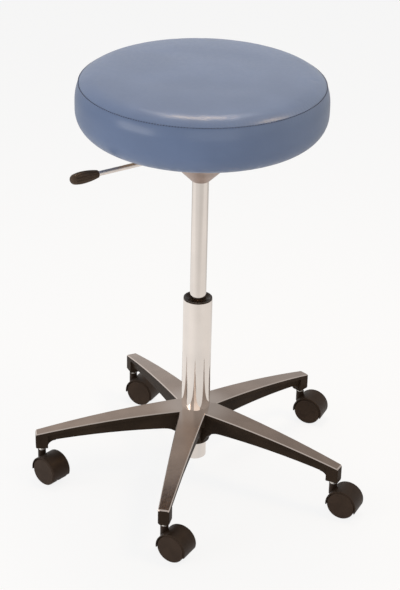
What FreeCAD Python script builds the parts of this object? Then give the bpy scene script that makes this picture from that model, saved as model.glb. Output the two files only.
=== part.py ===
import FreeCAD, Part
import math
import os
import re
import Sketcher

# Medical exam stool: five-arm caster base, gas spring column, round padded seat.
# Millimetres, +Z up, the origin on the floor under the column, the front arm along -Y.
# The seat stands at its raised height, as far up as the gas spring goes.

SIZES = {
    # Fits and small gaps
    "running_gap": 0.05,
    "seat_gap": 0.03,
    "side_gap": 0.3,
    # Caster wheels
    "wheel_radius": 25.0,
    "wheel_width": 15.0,
    "wheel_spacing": 8.6,
    "wheel_bevel": 1.8,
    "wheel_disc": 3.0,
    "wheel_rim": 4.0,
    "wheel_hub_radius": 6.5,
    "axle_radius": 3.0,
    "axle_end_cover": 3.5,
    # Caster housings
    "caster_height": 61.0,
    "caster_trail": 22.0,
    "hood_gap": 0.8,
    "hood_wall": 2.0,
    "hood_width": 39.4,
    "hood_bevel": 1.0,
    "hood_front_angle": 6.0,
    "hood_back_angle": 18.0,
    "web_width": 6.6,
    "neck_radius": 7.0,
    "neck_root": 35.0,
    # Caster stems and their grip rings
    "stem_inset": 10.6,
    "stem_radius": 4.0,
    "stem_collar_radius": 6.0,
    "stem_collar_height": 5.0,
    "stem_depth": 12.0,
    "stem_insert": 20.0,
    "socket_radius": 5.6,
    "ring_length": 8.0,
    "ring_lift": 8.0,
    # Star base
    "arm_count": 5,
    "arm_root": 12.0,
    "arm_middle": 150.0,
    "arm_reach": 281.6,
    "arm_rise": 43.1,
    "arm_bow": 4.9,
    "arm_root_width": 46.7,
    "arm_tip_width": 19.1,
    "arm_root_depth": 39.0,
    "arm_middle_depth": 27.0,
    "arm_tip_depth": 20.0,
    "arm_bevel": 1.4,
    "lip_depth": 8.0,
    "lip_step": 1.5,
    "rib_inset": 3.5,
    "rib_draft": 1.5,
    "tip_boss_depth": 29.0,
    "tip_boss_length": 21.0,
    "tip_boss_round": 2.0,
    "tip_gusset_reach": 14.0,
    "tip_gusset_end": 3.0,
    "hub_seat_depth": 1.1,
    "spot_face_width": 1.2,
    "hub_depth": 69.0,
    "hub_core_radius": 34.0,
    "hub_core_depth": 30.0,
    "hub_boss_radius": 25.5,
    "hub_boss_bevel": 1.5,
    "hub_gusset_reach": 30.0,
    "hub_gusset_end": 6.0,
    "hub_gusset_width": 30.0,
    # Column
    "column_radius": 25.0,
    "column_wall": 2.0,
    "column_rise": 208.5,
    "taper_top_radius": 23.3,
    "taper_bottom_radius": 21.8,
    "tail_radius": 20.0,
    "tail_drop": 33.0,
    "tail_recess": 10.0,
    "tail_recess_radius": 16.5,
    "tail_round": 1.5,
    # Guide bush
    "bush_length": 92.0,
    "bush_setback": 0.4,
    "bush_lip": 2.0,
    "bush_rim": 3.0,
    "bush_dish": 5.0,
    # Rod bearing
    "plate_thickness": 4.0,
    "race_radius": 13.0,
    "race_thickness": 2.0,
    "ball_radius": 1.5,
    "ball_circle": 9.3,
    "ball_count": 6,
    "cage_thickness": 1.6,
    "spigot_radius": 4.0,
    "bumper_radius": 12.0,
    "bumper_height": 10.0,
    "washer_radius": 9.0,
    "washer_thickness": 2.0,
    "clip_radius": 7.0,
    "clip_thickness": 1.5,
    "spigot_end": 3.5,
    # Gas spring
    "lift_stroke": 200.0,
    "bumper_clearance": 3.0,
    "rod_radius": 5.0,
    "piston_length": 14.0,
    "piston_clearance": 8.0,
    "tube_radius": 14.0,
    "tube_wall": 1.5,
    "tube_length": 339.0,
    "tube_top_radius": 13.3,
    "tube_top_wall": 4.0,
    "tube_roll": 1.5,
    "guide_length": 18.5,
    "valve_length": 24.0,
    "valve_floor": 5.0,
    "pin_radius": 3.0,
    "pin_insert": 15.0,
    # Seat hub
    "cone_lip_radius": 15.6,
    "bell_radius": 50.0,
    "bell_wall": 4.0,
    "bell_height": 88.5,
    "tube_socket_depth": 43.0,
    "tube_socket_radius": 19.5,
    "flange_radius": 66.0,
    "flange_thickness": 6.0,
    # Release lever
    "lever_heading": -135.5,
    "lever_rise": 12.0,
    "lever_radius": 4.0,
    "lever_reach": 249.0,
    "lever_tail": 6.0,
    "lever_lift": 6.0,
    "pivot_reach": 26.0,
    "pivot_radius": 2.5,
    "pivot_boss_radius": 6.0,
    "pivot_boss_width": 10.0,
    "ear_thickness": 4.0,
    "ear_length": 11.0,
    "ear_crown": 5.5,
    "ear_root": 2.5,
    "slot_gap": 0.8,
    "grip_length": 51.0,
    "grip_neck_radius": 6.0,
    "grip_radius": 10.0,
    "grip_swell": 30.0,
    "grip_end_radius": 8.4,
    "grip_end_round": 7.0,
    "grip_overlap": 36.0,
    "flute_count": 12,
    "flute_radius": 1.3,
    "flute_depth": 1.0,
    # Seat board and its fasteners
    "board_inset": 42.0,
    "board_thickness": 12.0,
    "screw_circle": 58.0,
    "screw_count": 4,
    "screw_radius": 3.0,
    "screw_head_radius": 5.0,
    "screw_head_height": 3.5,
    "nut_radius": 4.5,
    "nut_length": 8.5,
    "nut_flange_radius": 9.5,
    "nut_flange_thickness": 1.5,
    # Cushion
    "cushion_radius": 207.0,
    "cover_thickness": 1.5,
    "corner_round": 40.0,
    "side_height": 16.0,
    "seam_inset": 6.3,
    "seam_rise": 28.7,
    "seam_dip": 1.2,
    "shoulder_round": 44.0,
    "shoulder_width": 22.7,
    "top_rise": 12.9,
    "crown_rise": 9.7,
    "hem_width": 25.0,
    "staple_inset": 13.0,
    "staple_count": 18,
    "staple_length": 10.0,
    "staple_width": 1.2,
    "staple_height": 0.6,
    # Direction each caster trails at rest, as the five arms come round from the front
    "heading_front": -19.0,
    "heading_right": -15.0,
    "heading_back_right": -13.0,
    "heading_back_left": -17.0,
    "heading_left": -31.0,
}

# Places worked out from the sizes above
PLACES = {
    # Heights of the base and column
    "neck_top": "caster_height - stem_collar_height - side_gap",
    "tip_top": "caster_height + tip_boss_depth",
    "hub_top": "tip_top + arm_rise - hub_seat_depth",
    "hub_bottom": "hub_top - hub_depth",
    "column_top": "hub_top + column_rise",
    "tail_end": "hub_bottom - tail_drop",
    # Heights along the rod
    "plate_bottom": "tail_end + tail_recess",
    "plate_top": "plate_bottom + plate_thickness",
    "ball_height": "plate_top + race_thickness + ball_radius",
    "rod_shoulder": "plate_top + 2 * race_thickness + 2 * ball_radius + running_gap",
    "spigot_bottom": "plate_bottom - washer_thickness - clip_thickness - spigot_end",
    "bumper_top": "rod_shoulder + bumper_height",
    # Heights of the gas spring at the top of its stroke
    "tube_bottom": "bumper_top + bumper_clearance + lift_stroke",
    "tube_top": "tube_bottom + tube_length",
    "guide_top": "tube_bottom + tube_roll + guide_length",
    "piston_bottom": "guide_top + piston_clearance",
    "rod_top": "piston_bottom + piston_length",
    "valve_bottom": "tube_top - tube_top_wall - valve_length",
    "tube_bore": "tube_radius - tube_wall",
    # Heights of the seat
    "cone_bottom": "tube_top - tube_socket_depth",
    "cone_top": "cone_bottom + bell_radius - cone_lip_radius",
    "cone_floor": "cone_bottom - cone_lip_radius + bell_wall * sqrt(2)",
    "board_bottom": "cone_bottom + bell_height",
    "board_top": "board_bottom + board_thickness",
    "lever_height": "tube_top + lever_rise",
    "ear_inside": "pivot_boss_width / 2 + side_gap",
    "grip_start": "lever_reach - grip_length",
    # Radii that follow the cushion's, and the stems' circle
    "seam_radius": "cushion_radius - seam_inset",
    "top_radius": "seam_radius - shoulder_width",
    "board_radius": "cushion_radius - board_inset",
    "hem_radius": "board_radius - hem_width",
    "staple_circle": "board_radius - staple_inset",
    "stem_circle": "arm_reach - stem_inset",
    # Cushion outline
    "cushion_bottom": "board_bottom - cover_thickness",
    "corner_height": "cushion_bottom + corner_round",
    "widest_height": "corner_height + side_height",
    "seam_height": "widest_height + seam_rise",
    "shoulder_height": "seam_height + top_rise",
    "crown_height": "shoulder_height + crown_rise",
    # Caster cavity and hood, measured from the wheel's centre
    "wheel_inside": "wheel_spacing / 2",
    "hood_inside": "wheel_radius + hood_gap",
    "hood_outside": "hood_inside + hood_wall",
}

CASTER_HEADINGS = [
    "heading_front",
    "heading_right",
    "heading_back_right",
    "heading_back_left",
    "heading_left",
]
FIRST_ARM_ANGLE = -90.0

doc = FreeCAD.newDocument("exam_stool")
sheet = doc.addObject("Spreadsheet::Sheet", "Sizes")
subparts = []


def fill_sheet():
    """One row for each driving size: its name, then its value under that alias."""
    for row, (alias, number) in enumerate(SIZES.items(), start=1):
        sheet.set(f"A{row}", alias)
        sheet.set(f"B{row}", str(number))
        sheet.setAlias(f"B{row}", alias)
    doc.recompute()


def linked(formula):
    """The formula with each place spelled out and each size pointing at its cell."""
    def spell(match):
        word = match.group()
        if word in PLACES:
            return f"({linked(PLACES[word])})"
        return f"Sizes.{word}" if word in SIZES else word
    return re.sub(r"[a-z_]+", spell, formula)


def value(formula):
    return float(sheet.evalExpression(linked(formula)))


def bind(thing, name, formula):
    thing.setExpression(name, linked(formula))


def axis_turn(degrees):
    return FreeCAD.Rotation(FreeCAD.Vector(0, 0, 1), degrees)


# Sketches and features

def new_body(label, kept=True):
    body = doc.addObject("PartDesign::Body", label)
    body.Label = label
    if kept:
        subparts.append(body)
    return body


def origin_feature(body, role):
    return next(feature for feature in body.Origin.OriginFeatures if feature.Role == role)


def new_sketch(body, name, plane, offset=None):
    """An empty sketch on one of the body's own planes, moved along that plane's normal by the offset."""
    sketch = body.newObject("Sketcher::SketchObject", name)
    sketch.AttachmentSupport = [(origin_feature(body, plane), "")]
    sketch.MapMode = "FlatFace"
    if offset:
        bind(sketch, "AttachmentOffset.Base.z", offset)
    return sketch


def hold(sketch, formula, kind, *where):
    """A dimension of the sketch, bound to the sheet."""
    index = sketch.addConstraint(Sketcher.Constraint(kind, *where, value(formula)))
    bind(sketch, f"Constraints[{index}]", formula)


def arc_between(start, end, radius, turn):
    """The arc under a half circle from start to end that turns left or right."""
    chord = end - start
    rise = math.sqrt(max(radius ** 2 - chord.Length ** 2 / 4, 0))
    left = FreeCAD.Vector(-chord.y, chord.x, 0).normalize()
    centre = (start + end) / 2 + left * (rise if turn == "left" else -rise)
    first, last = (start, end) if turn == "left" else (end, start)
    angles = [math.atan2(point.y - centre.y, point.x - centre.x) for point in (first, last)]
    circle = Part.Circle(centre, FreeCAD.Vector(0, 0, 1), radius)
    return Part.ArcOfCircle(circle, *angles)


def outline(sketch, corners):
    """A closed outline. A corner is (x, y), or (x, y, radius, turn) where an arc leaves it."""
    points = [FreeCAD.Vector(value(corner[0]), value(corner[1]), 0) for corner in corners]
    ends = []
    for index, corner in enumerate(corners):
        start = points[index]
        end = points[(index + 1) % len(points)]
        if len(corner) == 2:
            sketch.addGeometry(Part.LineSegment(start, end))
            ends.append((1, 2))
        else:
            sketch.addGeometry(arc_between(start, end, value(corner[2]), corner[3]))
            ends.append((1, 2) if corner[3] == "left" else (2, 1))
    for index in range(len(corners)):
        after = (index + 1) % len(corners)
        sketch.addConstraint(Sketcher.Constraint("Coincident", index, ends[index][1], after, ends[after][0]))
    for index, corner in enumerate(corners):
        hold(sketch, corner[0], "DistanceX", index, ends[index][0])
        hold(sketch, corner[1], "DistanceY", index, ends[index][0])
        if len(corner) > 2:
            hold(sketch, corner[2], "Radius", index)


def circle(sketch, x, y, radius):
    centre = FreeCAD.Vector(value(x), value(y), 0)
    index = sketch.addGeometry(Part.Circle(centre, FreeCAD.Vector(0, 0, 1), value(radius)))
    hold(sketch, radius, "Radius", index)
    hold(sketch, x, "DistanceX", index, 3)
    hold(sketch, y, "DistanceY", index, 3)


def feature(body, kind, name, sketch):
    made = body.newObject(f"PartDesign::{kind}", name)
    made.Profile = (sketch, [""])
    return made


def pad(body, name, sketch, length, midplane=False):
    made = feature(body, "Pad", name, sketch)
    bind(made, "Length", length)
    made.SideType = "Symmetric" if midplane else "One side"
    return made


def cut_checked(body, made):
    """A cut that points away from the solid removes nothing, so the volume has to fall."""
    doc.recompute()
    if made.Shape.Volume >= made.BaseFeature.Shape.Volume:
        raise RuntimeError(f"{body.Label}: {made.Name} removes nothing")
    return made


def pocket(body, name, sketch, length, side="along"):
    """A cut along the sketch's normal, against it, or half each way."""
    made = feature(body, "Pocket", name, sketch)
    bind(made, "Length", length)
    made.SideType = "Symmetric" if side == "both" else "One side"
    made.Reversed = side == "along"
    return cut_checked(body, made)


def turned(body, name, corners):
    """A solid of revolution about the body's Z axis, from an outline of radius and height."""
    sketch = new_sketch(body, f"{name}_outline", "XZ_Plane")
    outline(sketch, corners)
    made = feature(body, "Revolution", name, sketch)
    made.ReferenceAxis = (sketch, ["V_Axis"])
    made.Angle = 360
    return made


def turned_cut(body, name, corners):
    sketch = new_sketch(body, f"{name}_outline", "XZ_Plane")
    outline(sketch, corners)
    made = feature(body, "Groove", name, sketch)
    made.ReferenceAxis = (sketch, ["V_Axis"])
    made.Angle = 360
    return cut_checked(body, made)


def ring_corners(inner, outer, bottom, top):
    return [(inner, bottom), (outer, bottom), (outer, top), (inner, top)]


def ring(label, inner, outer, bottom, top, kept=True):
    """A plain round piece about the stool's axis: a washer, a sleeve or, with inner 0, a disc."""
    body = new_body(label, kept)
    turned(body, "ring", ring_corners(inner, outer, bottom, top))
    return body


def around_axis(body, made, count):
    """The feature repeated evenly about the body's Z axis."""
    pattern = body.newObject("PartDesign::PolarPattern", f"{made.Name}_pattern")
    pattern.Originals = [made]
    pattern.Axis = (origin_feature(body, "Z_Axis"), [""])
    pattern.Angle = 360
    bind(pattern, "Occurrences", count)
    body.Tip = pattern
    return pattern


def group(label, pieces):
    """Separate solids of one kind in one node."""
    made = doc.addObject("Part::Compound", label)
    made.Label = label
    made.Links = pieces
    subparts.append(made)


def spot_on_circle(radius, angle, height):
    """A place on a circle about the stool's axis, turned to face outward."""
    turn = axis_turn(angle)
    return FreeCAD.Placement(turn.multVec(FreeCAD.Vector(radius, 0, height)), turn)


def even_angles(count, first=0.0):
    number = int(value(count))
    return [first + 360.0 * index / number for index in range(number)]


# Star base

def arm_share(reach):
    """How far along the arm a reach is, from 1 at the root to 0 at the tip."""
    return f"((arm_reach - {reach}) / (arm_reach - arm_root))"


def arm_width(reach):
    return f"arm_tip_width + (arm_root_width - arm_tip_width) * {arm_share(reach)}"


def arm_top(reach):
    """Height of an arm's bowed upper face."""
    share = arm_share(reach)
    return f"(tip_top + arm_rise * {share} + 4 * arm_bow * {share} * (1 - {share}))"


def arm_section(body, name, reach, depth):
    """T-shaped section of an arm: a bevelled lip on a narrower rib."""
    half = f"({arm_width(reach)}) / 2"
    top = arm_top(reach)
    side = [
        (f"{half} - arm_bevel", top),
        (half, f"{top} - arm_bevel"),
        (half, f"{top} - lip_depth"),
        (f"{half} - rib_inset", f"{top} - lip_depth - lip_step"),
        (f"{half} - rib_inset - rib_draft", f"{top} - {depth}"),
    ]
    sketch = new_sketch(body, name, "YZ_Plane", reach)
    outline(sketch, mirrored_outline(side))
    return sketch


def mirrored_outline(side):
    """One side from top to bottom, then its mirror image from bottom to top."""
    return side + [(f"-({across})", height) for across, height in reversed(side)]


def boss_section(body, name, reach, inset):
    """Section of the block at an arm's tip, drawn in by the inset on every side."""
    half = f"({arm_width(reach)}) / 2 - {inset}"
    top = arm_top(reach)
    side = [
        (f"{half} - arm_bevel", f"{top} - {inset}"),
        (half, f"{top} - arm_bevel - {inset}"),
        (half, "caster_height + tip_boss_round"),
        (f"{half} - tip_boss_round", f"caster_height + {inset} / 4"),
    ]
    sketch = new_sketch(body, name, "YZ_Plane", reach)
    outline(sketch, mirrored_outline(side))
    return sketch


def loft(body, name, sections, kind="AdditiveLoft"):
    made = feature(body, kind, name, sections[0])
    made.Sections = [(section, [""]) for section in sections[1:]]
    return made


def gusset(body, name, corners, width):
    sketch = new_sketch(body, f"{name}_outline", "XZ_Plane")
    outline(sketch, corners)
    return pad(body, name, sketch, width, midplane=True)


def arm(body):
    """One arm along +X, from inside the hub to its tip."""
    boss_start = "(arm_reach - tip_boss_length)"
    boss_end = "(arm_reach - tip_boss_round)"
    loft(body, "beam", [
        arm_section(body, "root_section", "arm_root", "arm_root_depth"),
        arm_section(body, "middle_section", "arm_middle", "arm_middle_depth"),
        arm_section(body, "outer_section", boss_start, "arm_tip_depth"),
    ])
    for side, sign in (("left", ""), ("right", "-")):
        trim_root(body, side, sign)
    loft(body, "boss", [
        boss_section(body, "boss_inner", boss_start, "0"),
        boss_section(body, "boss_outer", boss_end, "0"),
    ])
    loft(body, "boss_nose", [
        boss_section(body, "nose_start", boss_end, "0"),
        boss_section(body, "nose_end", "arm_reach", "arm_bevel"),
    ])
    tip_gusset(body, boss_start)
    hub_gusset(body)
    socket = new_sketch(body, "socket_outline", "XY_Plane", "caster_height")
    circle(socket, "stem_circle", "0", "socket_radius")
    pocket(body, "socket", socket, "stem_insert + side_gap")


def trim_root(body, side, sign):
    """Cuts one side of an arm's root off along the plane where the next arm begins."""
    wide = f"{sign}(arm_root_width * tan(180 * 1 deg / arm_count))"
    sketch = new_sketch(body, f"{side}_root_outline", "XY_Plane", "hub_bottom")
    outline(sketch, [("0", "0"), ("arm_root_width", wide), ("0", wide)])
    pocket(body, f"{side}_root", sketch, "hub_depth + 2 * hub_seat_depth")


def tip_gusset(body, boss_start):
    """Hollow curve from the underside of the rib down to the tip block."""
    top = arm_top(boss_start)
    under = f"({top} - arm_tip_depth)"
    low = "(caster_height + tip_gusset_end)"
    inner = f"({boss_start} - tip_gusset_reach)"
    drop = f"({under} - {low})"
    radius = f"(tip_gusset_reach ^ 2 + {drop} ^ 2) / (2 * {drop})"
    corners = [
        (boss_start, low),
        (f"{boss_start} + arm_bevel", low),
        (f"{boss_start} + arm_bevel", f"{top} - lip_depth"),
        (inner, f"{top} - lip_depth"),
        (inner, under, radius, "right"),
    ]
    gusset(body, "tip_gusset", corners, "arm_tip_width - 2 * rib_inset - 2 * rib_draft")


def hub_gusset(body):
    """Hollow curve from the underside of the rib down to the hub's lower boss."""
    under = "(hub_top - arm_root_depth)"
    low = "(hub_bottom + hub_gusset_end)"
    outer = "(hub_boss_radius + hub_gusset_reach)"
    drop = f"({under} - {low})"
    radius = f"(hub_gusset_reach ^ 2 + {drop} ^ 2) / (2 * {drop})"
    corners = [
        (outer, under, radius, "left"),
        ("hub_boss_radius", low),
        ("arm_root", low),
        ("arm_root", f"{under} + lip_depth"),
        (outer, f"{under} + lip_depth"),
    ]
    gusset(body, "hub_gusset", corners, "hub_gusset_width")


def base_casting():
    body = new_body("base_casting")
    arm(body)
    pattern = body.newObject("PartDesign::PolarPattern", "arms")
    pattern.TransformMode = "Whole shape"
    pattern.Axis = (origin_feature(body, "Z_Axis"), [""])
    pattern.Angle = 360
    bind(pattern, "Occurrences", "arm_count")
    body.Tip = pattern
    turned(body, "hub", [
        ("0", "hub_bottom"),
        ("hub_boss_radius - hub_boss_bevel", "hub_bottom"),
        ("hub_boss_radius", "hub_bottom + hub_boss_bevel"),
        ("hub_boss_radius", "hub_top - arm_root_depth"),
        ("hub_core_radius", "hub_top - hub_core_depth"),
        ("hub_core_radius", "hub_top - lip_depth / 2"),
        ("0", "hub_top - lip_depth / 2"),
    ])
    turned_cut(body, "bore", [
        ("0", "hub_bottom - side_gap"),
        ("taper_bottom_radius + seat_gap", "hub_bottom - side_gap"),
        ("taper_bottom_radius + seat_gap", "hub_bottom"),
        ("taper_top_radius + seat_gap", "hub_top"),
        ("column_radius + spot_face_width", "hub_top"),
        ("column_radius + spot_face_width", "hub_top + 2 * hub_seat_depth"),
        ("0", "hub_top + 2 * hub_seat_depth"),
    ])
    body.Placement = FreeCAD.Placement(FreeCAD.Vector(), axis_turn(FIRST_ARM_ANGLE))


# Column and its bearing

def column_tube():
    """Bright outer column: straight above the hub, tapered inside it, with a narrower tail below."""
    body = new_body("column_tube")
    turned(body, "tube", [
        ("tail_recess_radius", "tail_end"),
        ("tail_radius - tail_round", "tail_end"),
        ("tail_radius", "tail_end + tail_round"),
        ("tail_radius", "hub_bottom - (taper_bottom_radius - tail_radius)"),
        ("taper_bottom_radius", "hub_bottom"),
        ("taper_top_radius", "hub_top"),
        ("column_radius", "hub_top"),
        ("column_radius", "column_top"),
        ("column_radius - column_wall", "column_top"),
        ("column_radius - column_wall", "hub_top + column_wall"),
        ("taper_top_radius - column_wall", "hub_top"),
        ("taper_bottom_radius - column_wall", "hub_bottom"),
        ("tail_radius - column_wall", "hub_bottom - (taper_bottom_radius - tail_radius)"),
        ("tail_radius - column_wall", "plate_bottom"),
        ("tail_recess_radius", "plate_bottom"),
    ])


def column_bush():
    """Plastic sleeve that guides the gas spring, with a dished ring over the column's end."""
    body = new_body("column_bush")
    turned(body, "sleeve", [
        ("tube_radius + running_gap", "column_top - bush_length"),
        ("column_radius - column_wall - seat_gap", "column_top - bush_length"),
        ("column_radius - column_wall - seat_gap", "column_top"),
        ("column_radius - bush_setback", "column_top"),
        ("column_radius - bush_setback", "column_top + bush_lip"),
        ("column_radius - bush_setback - bush_rim", "column_top + bush_lip"),
        ("tube_radius + running_gap", "column_top + bush_lip - bush_dish"),
    ])


def rod_bearing():
    """End plate, thrust bearing, rubber stop and what holds the rod under the plate."""
    spigot_hole = "spigot_radius + running_gap"
    ring("column_end_plate", spigot_hole, "tail_radius - column_wall - seat_gap", "plate_bottom", "plate_top")
    ring("thrust_race_lower", "spigot_radius + side_gap", "race_radius", "plate_top",
         "plate_top + race_thickness")
    ring("thrust_race_upper", "spigot_radius + seat_gap", "race_radius", "rod_shoulder - race_thickness",
         "rod_shoulder")
    ball_cage()
    ring("rod_bumper", "rod_radius + seat_gap", "bumper_radius", "rod_shoulder", "bumper_top")
    washer_bottom = "plate_bottom - side_gap - washer_thickness"
    ring("rod_washer", "spigot_radius + seat_gap", "washer_radius", washer_bottom, "plate_bottom - side_gap")
    clip_bottom = f"{washer_bottom} - clip_thickness"
    ring("rod_clip", "spigot_radius + seat_gap", "clip_radius", clip_bottom, washer_bottom)


def ball_cage():
    cage = ring("thrust_ball_cage", "spigot_radius + 2 * side_gap", "race_radius",
                "ball_height - cage_thickness / 2", "ball_height + cage_thickness / 2")
    sketch = new_sketch(cage, "pocket_outline", "XY_Plane", "ball_height")
    circle(sketch, "ball_circle", "0", "ball_radius + running_gap")
    around_axis(cage, pocket(cage, "ball_pocket", sketch, "2 * cage_thickness", side="both"), "ball_count")
    balls = []
    for angle in even_angles("ball_count"):
        ball = doc.addObject("Part::Sphere", "thrust_ball")
        bind(ball, "Radius", "ball_radius")
        ball.Placement = spot_on_circle(value("ball_circle"), angle, value("ball_height"))
        balls.append(ball)
    group("thrust_balls", balls)


# Gas spring

def gas_spring():
    rod = new_body("piston_rod")
    turned(rod, "rod", [
        ("0", "spigot_bottom"),
        ("spigot_radius", "spigot_bottom"),
        ("spigot_radius", "rod_shoulder"),
        ("rod_radius", "rod_shoulder"),
        ("rod_radius", "rod_top"),
        ("0", "rod_top"),
    ])
    ring("gas_piston", "rod_radius + seat_gap", "tube_bore - running_gap", "piston_bottom", "rod_top")
    ring("gas_rod_guide", "rod_radius + running_gap", "tube_bore - seat_gap", "tube_bottom + tube_roll",
         "guide_top")
    pressure_tube()
    valve = new_body("gas_valve_block")
    turned(valve, "block", [
        ("0", "valve_bottom"),
        ("tube_bore - seat_gap", "valve_bottom"),
        ("tube_bore - seat_gap", "tube_top - tube_top_wall"),
        ("pin_radius + running_gap", "tube_top - tube_top_wall"),
        ("pin_radius + running_gap", "valve_bottom + valve_floor"),
        ("0", "valve_bottom + valve_floor"),
    ])
    pin_top = "lever_height - lever_radius - side_gap"
    ring("release_pin", "0", "pin_radius", "tube_top - pin_insert", pin_top)


def pressure_tube():
    """Bright tube of the gas spring: rolled in at the lower end, tapered where the seat hub sits on it."""
    body = new_body("pressure_tube")
    turned(body, "tube", [
        ("tube_bore - tube_roll", "tube_bottom"),
        ("tube_radius", "tube_bottom"),
        ("tube_radius", "cone_bottom"),
        ("tube_top_radius", "tube_top"),
        ("pin_radius + running_gap", "tube_top"),
        ("pin_radius + running_gap", "tube_top - tube_top_wall"),
        ("tube_bore", "tube_top - tube_top_wall"),
        ("tube_bore", "tube_bottom + tube_roll"),
        ("tube_bore - tube_roll", "tube_bottom + tube_roll"),
    ])


# Seat hub, lever and their pivot

def seat_hub():
    """Bright cone with the gas spring's socket, a slot and two ears for the lever, and the seat flange."""
    body = new_body("seat_hub")
    inside = "bell_radius - bell_wall"
    turned(body, "bell", [
        ("tube_radius + seat_gap", "cone_bottom"),
        ("cone_lip_radius", "cone_bottom"),
        ("bell_radius", "cone_top"),
        ("bell_radius", "board_bottom - flange_thickness"),
        ("flange_radius", "board_bottom - flange_thickness"),
        ("flange_radius", "board_bottom"),
        (inside, "board_bottom"),
        (inside, f"cone_floor + {inside}"),
        ("tube_socket_radius", "cone_floor + tube_socket_radius"),
        ("tube_socket_radius", "tube_top"),
        ("tube_top_radius + seat_gap", "tube_top"),
    ])
    for side, across in (("left", "-ear_inside - ear_thickness"), ("right", "ear_inside")):
        pivot_ear(body, side, across)
    lever_slot(body)
    pivot = new_sketch(body, "pivot_outline", "XZ_Plane")
    circle(pivot, "pivot_reach", "lever_height", "pivot_radius + seat_gap")
    pocket(body, "pivot_hole", pivot, "2 * ear_inside + 2 * ear_thickness + side_gap", side="both")
    screw = new_sketch(body, "screw_outline", "XY_Plane", "board_bottom - flange_thickness")
    circle(screw, "screw_circle", "0", "screw_radius + side_gap")
    around_axis(body, pocket(body, "screw_hole", screw, "flange_thickness"), "screw_count")
    body.Placement = FreeCAD.Placement(FreeCAD.Vector(), axis_turn(value("lever_heading")))


def pivot_ear(body, side, across):
    """Ear beside the lever's pivot boss, its foot let into the sloping floor of the bell."""
    sketch = new_sketch(body, f"{side}_ear_outline", "XZ_Plane", across)
    near = "pivot_reach - ear_length / 2"
    far = "pivot_reach + ear_length / 2"
    foot = "cone_floor - ear_root"
    crown = "lever_height + ear_crown"
    outline(sketch, [(near, f"{foot} + {near}"), (far, f"{foot} + {far}"), (far, crown), (near, crown)])
    pad(body, f"{side}_ear", sketch, "ear_thickness")


def lever_slot(body):
    """Slot through the bell's wall, tall enough for the lever's swing."""
    sketch = new_sketch(body, "slot_outline", "YZ_Plane", "bell_radius - 2 * bell_wall")
    half = "lever_radius + slot_gap"
    low = "lever_height - lever_radius - slot_gap"
    high = "lever_height + lever_radius + slot_gap + (bell_radius - pivot_reach) * tan(lever_lift * 1 deg)"
    outline(sketch, [(f"-({half})", low), (half, low), (half, high), (f"-({half})", high)])
    pocket(body, "lever_slot", sketch, "3 * bell_wall")


def lever_placement():
    """The lever's own Z runs outward along the lever, its X points up."""
    angle = math.radians(value("lever_heading"))
    outward = FreeCAD.Vector(math.cos(angle), math.sin(angle), 0)
    up = FreeCAD.Vector(0, 0, 1)
    turn = FreeCAD.Rotation(up, outward.cross(up), outward, "ZXY")
    return FreeCAD.Placement(up * value("lever_height"), turn)


def release_lever():
    rod = new_body("lever_rod")
    rod_end = "grip_start + grip_overlap"
    turned(rod, "rod", ring_corners("0", "lever_radius", "-lever_tail", rod_end))
    boss = new_sketch(rod, "boss_outline", "XZ_Plane")
    circle(boss, "0", "pivot_reach", "pivot_boss_radius")
    pad(rod, "boss", boss, "pivot_boss_width", midplane=True)
    hole = new_sketch(rod, "pivot_outline", "XZ_Plane")
    circle(hole, "0", "pivot_reach", "pivot_radius + running_gap")
    pocket(rod, "pivot_hole", hole, "pivot_boss_width + side_gap", side="both")
    rod.Placement = lever_placement()
    lever_grip(rod_end)
    pin_half = "ear_inside + ear_thickness"
    pin = ring("lever_pivot_pin", "0", "pivot_radius", f"-({pin_half})", pin_half)
    along_pin = FreeCAD.Rotation(FreeCAD.Vector(1, 0, 0), -90)
    local = FreeCAD.Placement(FreeCAD.Vector(0, 0, value("pivot_reach")), along_pin)
    pin.Placement = lever_placement().multiply(local)


def lever_grip(rod_end):
    """Barrel-shaped plastic grip with a round end and flutes that follow its swell."""
    body = new_body("lever_grip")
    widest = "grip_start + grip_swell"
    end_joint = "lever_reach - grip_end_round"
    neck_curve = bulge_radius("grip_radius - grip_neck_radius", "grip_swell")
    end_curve = bulge_radius("grip_radius - grip_end_radius", f"{end_joint} - ({widest})")
    turned(body, "grip", [
        ("lever_radius + seat_gap", "grip_start"),
        ("grip_neck_radius", "grip_start", neck_curve, "left"),
        ("grip_radius", widest, end_curve, "left"),
        ("grip_end_radius", end_joint, bulge_radius("grip_end_round", "grip_end_radius"), "left"),
        ("0", "lever_reach"),
        ("0", f"{rod_end} + side_gap"),
        ("lever_radius + seat_gap", f"{rod_end} + side_gap"),
    ])
    flute_ends = (("neck", "grip_start", "grip_neck_radius"), ("widest", widest, "grip_radius"),
                  ("joint", end_joint, "grip_end_radius"))
    sections = []
    for place, height, radius in flute_ends:
        section = new_sketch(body, f"flute_{place}", "XY_Plane", height)
        circle(section, f"{radius} + flute_radius - flute_depth", "0", "flute_radius")
        sections.append(section)
    flute = loft(body, "flute", sections, "SubtractiveLoft")
    around_axis(body, cut_checked(body, flute), "flute_count")
    body.Placement = lever_placement()


# Seat

def seat_board():
    board = new_body("seat_board")
    turned(board, "board", ring_corners("0", "board_radius", "board_bottom", "board_top"))
    barrel = new_sketch(board, "barrel_outline", "XY_Plane", "board_bottom")
    circle(barrel, "screw_circle", "0", "nut_radius + running_gap")
    around_axis(board, pocket(board, "barrel_hole", barrel, "board_thickness"), "screw_count")
    recess = new_sketch(board, "recess_outline", "XY_Plane", "board_top - nut_flange_thickness")
    circle(recess, "screw_circle", "0", "nut_flange_radius + running_gap")
    around_axis(board, pocket(board, "flange_recess", recess, "nut_flange_thickness"), "screw_count")
    board.Placement = FreeCAD.Placement(FreeCAD.Vector(), axis_turn(value("lever_heading")))


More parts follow.
